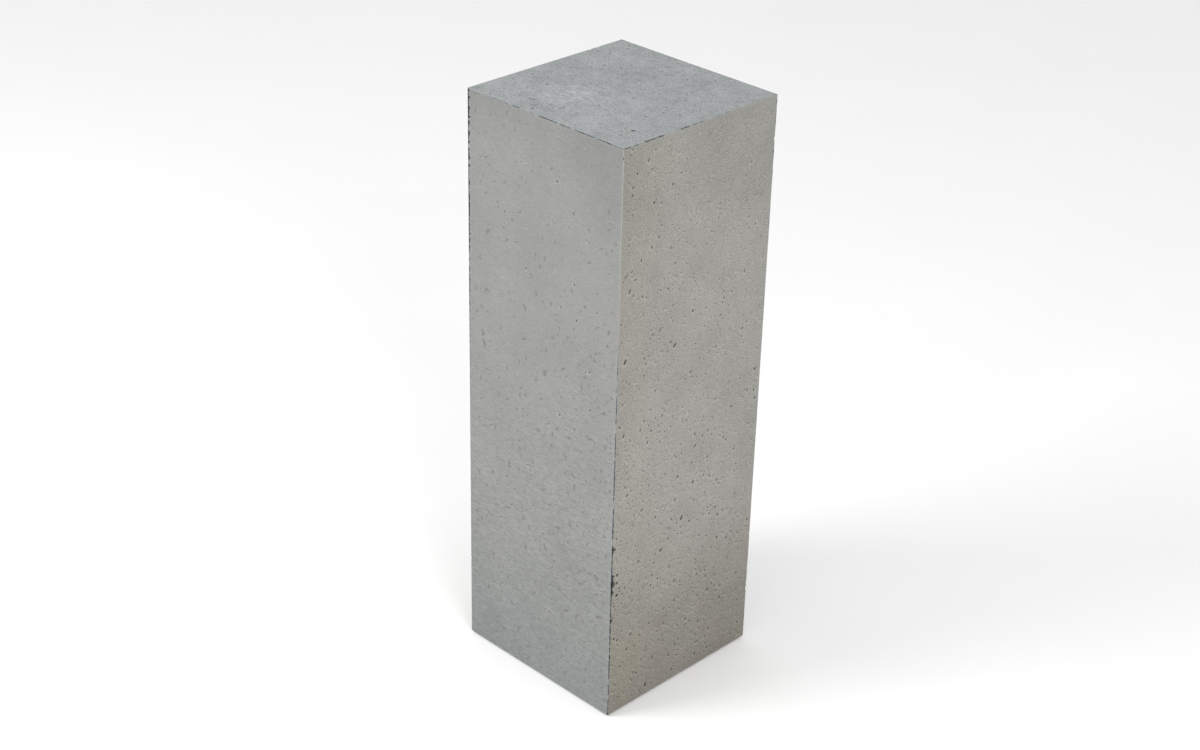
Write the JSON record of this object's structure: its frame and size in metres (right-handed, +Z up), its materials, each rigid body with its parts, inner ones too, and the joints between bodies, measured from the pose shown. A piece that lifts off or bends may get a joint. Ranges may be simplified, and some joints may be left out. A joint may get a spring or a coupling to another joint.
{
  "type": "display plinth",
  "caption": "Square upright display plinth: mitred fair-faced concrete panels over a timber carcass, with a flat top and hidden levelling feet.",
  "frame": {"origin": "on the floor, under the middle of the square section", "axes": "+Z up the plinth, -Y towards the front panel, +X towards the right panel"},
  "size_m": [0.3, 0.3, 0.9],
  "materials": {
    "concrete_smooth": "matte",
    "concrete_sandy": "matte",
    "concrete_top": "matte",
    "joint_filler": "matte",
    "adhesive": "matte",
    "plywood": "matte",
    "pine": "matte",
    "zinc_steel": "satin",
    "nylon": "satin",
    "pad_rubber": "matte"
  },
  "bodies": {
    "plinth": {"front_concrete_panel": "concrete_smooth", "right_concrete_panel": "concrete_sandy", "back_concrete_panel": "concrete_smooth", "left_concrete_panel": "concrete_sandy", "top_concrete_panel": "concrete_top", "corner_joint_filler": "joint_filler", "top_joint_filler": "joint_filler", "front_adhesive_beads": "adhesive", "right_adhesive_beads": "adhesive", "back_adhesive_beads": "adhesive", "left_adhesive_beads": "adhesive", "top_adhesive_beads": "adhesive", "front_carcass_board": "plywood", "right_carcass_board": "plywood", "back_carcass_board": "plywood", "left_carcass_board": "plywood", "top_carcass_board": "plywood", "base_board": "plywood", "mid_stiffener": "plywood", "front_left_corner_batten": "pine", "front_right_corner_batten": "pine", "back_right_corner_batten": "pine", "back_left_corner_batten": "pine", "corner_screws": "zinc_steel", "base_board_screws": "zinc_steel", "stiffener_screws": "zinc_steel", "top_board_screws": "zinc_steel", "base_board_tee_nuts": "zinc_steel"},
    "front_left_glide": {"front_left_foot_glide": "nylon", "front_left_foot_pad": "pad_rubber"},
    "front_left_stud": {"front_left_foot_stud": "zinc_steel"},
    "front_right_glide": {"front_right_foot_glide": "nylon", "front_right_foot_pad": "pad_rubber"},
    "front_right_stud": {"front_right_foot_stud": "zinc_steel"},
    "back_right_glide": {"back_right_foot_glide": "nylon", "back_right_foot_pad": "pad_rubber"},
    "back_right_stud": {"back_right_foot_stud": "zinc_steel"},
    "back_left_glide": {"back_left_foot_glide": "nylon", "back_left_foot_pad": "pad_rubber"},
    "back_left_stud": {"back_left_foot_stud": "zinc_steel"}
  },
  "joints": [
    {"name": "front_left_foot_travel", "type": "slide", "parent": "plinth", "child": "front_left_glide", "axis": [0, 0, -1], "range_m": [0, 0.012]},
    {"name": "front_left_foot_turn", "type": "hinge", "parent": "front_left_glide", "child": "front_left_stud", "pos_m": [-0.095, -0.095, 0.012], "axis": [0, 0, -1], "range_deg": [0, 3456]},
    {"name": "front_right_foot_travel", "type": "slide", "parent": "plinth", "child": "front_right_glide", "axis": [0, 0, -1], "range_m": [0, 0.012]},
    {"name": "front_right_foot_turn", "type": "hinge", "parent": "front_right_glide", "child": "front_right_stud", "pos_m": [0.095, -0.095, 0.012], "axis": [0, 0, -1], "range_deg": [0, 3456]},
    {"name": "back_right_foot_travel", "type": "slide", "parent": "plinth", "child": "back_right_glide", "axis": [0, 0, -1], "range_m": [0, 0.012]},
    {"name": "back_right_foot_turn", "type": "hinge", "parent": "back_right_glide", "child": "back_right_stud", "pos_m": [0.095, 0.095, 0.012], "axis": [0, 0, -1], "range_deg": [0, 3456]},
    {"name": "back_left_foot_travel", "type": "slide", "parent": "plinth", "child": "back_left_glide", "axis": [0, 0, -1], "range_m": [0, 0.012]},
    {"name": "back_left_foot_turn", "type": "hinge", "parent": "back_left_glide", "child": "back_left_stud", "pos_m": [-0.095, 0.095, 0.012], "axis": [0, 0, -1], "range_deg": [0, 3456]}
  ],
  "couplings": [
    {"joint": "front_left_foot_travel", "follows": "front_left_foot_turn", "m_per_rad": 0.00019894},
    {"joint": "front_right_foot_travel", "follows": "front_right_foot_turn", "m_per_rad": 0.00019894},
    {"joint": "back_right_foot_travel", "follows": "back_right_foot_turn", "m_per_rad": 0.00019894},
    {"joint": "back_left_foot_travel", "follows": "back_left_foot_turn", "m_per_rad": 0.00019894}
  ]
}
